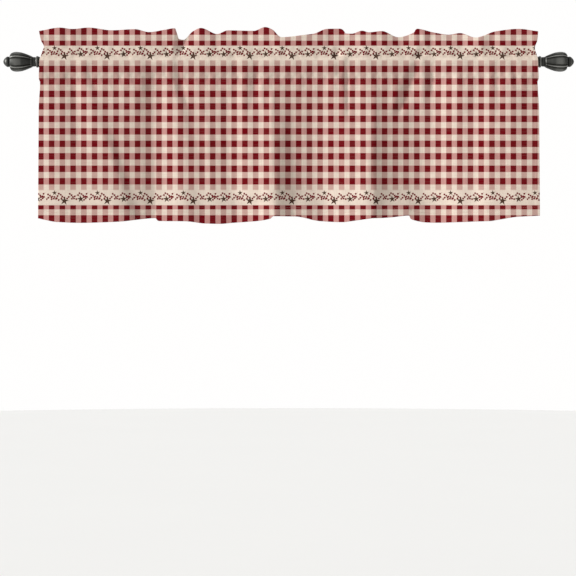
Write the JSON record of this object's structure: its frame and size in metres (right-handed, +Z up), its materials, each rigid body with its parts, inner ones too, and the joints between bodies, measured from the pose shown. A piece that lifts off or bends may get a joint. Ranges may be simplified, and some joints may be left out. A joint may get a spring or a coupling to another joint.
{
  "type": "window valance on curtain rod",
  "caption": "Gathered window valance in burgundy and cream check with star-and-berry borders, its ruffled heading and pocket on a round dark rod with ribbed finials.",
  "frame": {"origin": "middle of the rod's axis", "axes": "+X along the rod to the right as seen from the room, +Z up, -Y towards the room"},
  "size_m": [1.3812, 0.0485, 0.4759],
  "materials": {
    "checked_cotton": "matte plain weave printed with a check",
    "gunmetal": "satin gunmetal"
  },
  "bodies": {
    "root": {"valance": "checked_cotton", "rod": "gunmetal", "finial_left": "gunmetal", "finial_right": "gunmetal"}
  },
  "joints": []
}
